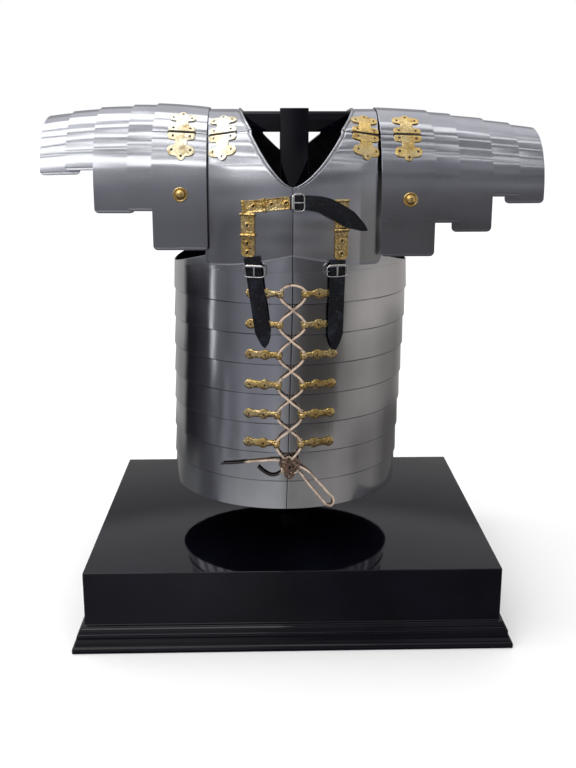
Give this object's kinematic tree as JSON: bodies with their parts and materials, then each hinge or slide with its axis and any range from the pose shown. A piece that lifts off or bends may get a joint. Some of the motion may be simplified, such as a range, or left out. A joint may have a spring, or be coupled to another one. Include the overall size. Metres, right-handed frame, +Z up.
{
  "type": "lorica segmentata on a display stand",
  "caption": "Segmented plate cuirass with girth hoops laced down the front, breast and back plates, hinged shoulder guards and buckled straps, held on a plain dark display stand.",
  "frame": {"origin": "middle of the stand's flat underside", "axes": "+Z up along the post; the front of the cuirass faces -Y; +X points to the wearer's left"},
  "size_m": [0.6585, 0.39, 0.7026],
  "materials": {
    "steel": "polished by hand, with brushed streaks",
    "brass": "polished, with darker rivets",
    "leather": "black, waxed",
    "buckle": "bright",
    "wood": "black lacquer, glossy",
    "lace": "undyed thong"
  },
  "bodies": {
    "root": {"stand_base": "wood", "stand_post": "wood", "stand_crossbar": "wood", "girth_hoop_1": "steel", "girth_hoop_2": "steel", "girth_hoop_3": "steel", "girth_hoop_4": "steel", "girth_hoop_5": "steel", "girth_hoop_6": "steel", "girth_hoop_7": "steel", "girth_hoop_8": "steel", "breastplate_right": "steel", "collar_plate_right": "steel", "back_plate_right": "steel", "upper_guard_front_right": "steel", "upper_guard_top_right": "steel", "upper_guard_back_right": "steel", "lesser_guard_1_right": "steel", "lesser_guard_2_right": "steel", "lesser_guard_3_right": "steel", "lesser_guard_4_right": "steel", "collar_hinge_right": "brass", "guard_hinge_right": "brass", "guard_boss_right": "brass", "tie_loop_1_right": "brass", "tie_loop_2_right": "brass", "tie_loop_3_right": "brass", "tie_loop_4_right": "brass", "tie_loop_5_right": "brass", "tie_loop_6_right": "brass", "breastplate_left": "steel", "collar_plate_left": "steel", "back_plate_left": "steel", "upper_guard_front_left": "steel", "upper_guard_top_left": "steel", "upper_guard_back_left": "steel", "lesser_guard_1_left": "steel", "lesser_guard_2_left": "steel", "lesser_guard_3_left": "steel", "lesser_guard_4_left": "steel", "collar_hinge_left": "brass", "guard_hinge_left": "brass", "guard_boss_left": "brass", "tie_loop_1_left": "brass", "tie_loop_2_left": "brass", "tie_loop_3_left": "brass", "tie_loop_4_left": "brass", "tie_loop_5_left": "brass", "tie_loop_6_left": "brass", "fitting_right": "brass", "strap_right": "leather", "buckle_right": "buckle", "fitting_left": "brass", "strap_left": "leather", "buckle_left": "buckle", "fitting_chest": "brass", "strap_chest": "leather", "buckle_chest": "buckle", "lace": "lace", "lace_bow": "lace"}
  },
  "joints": []
}
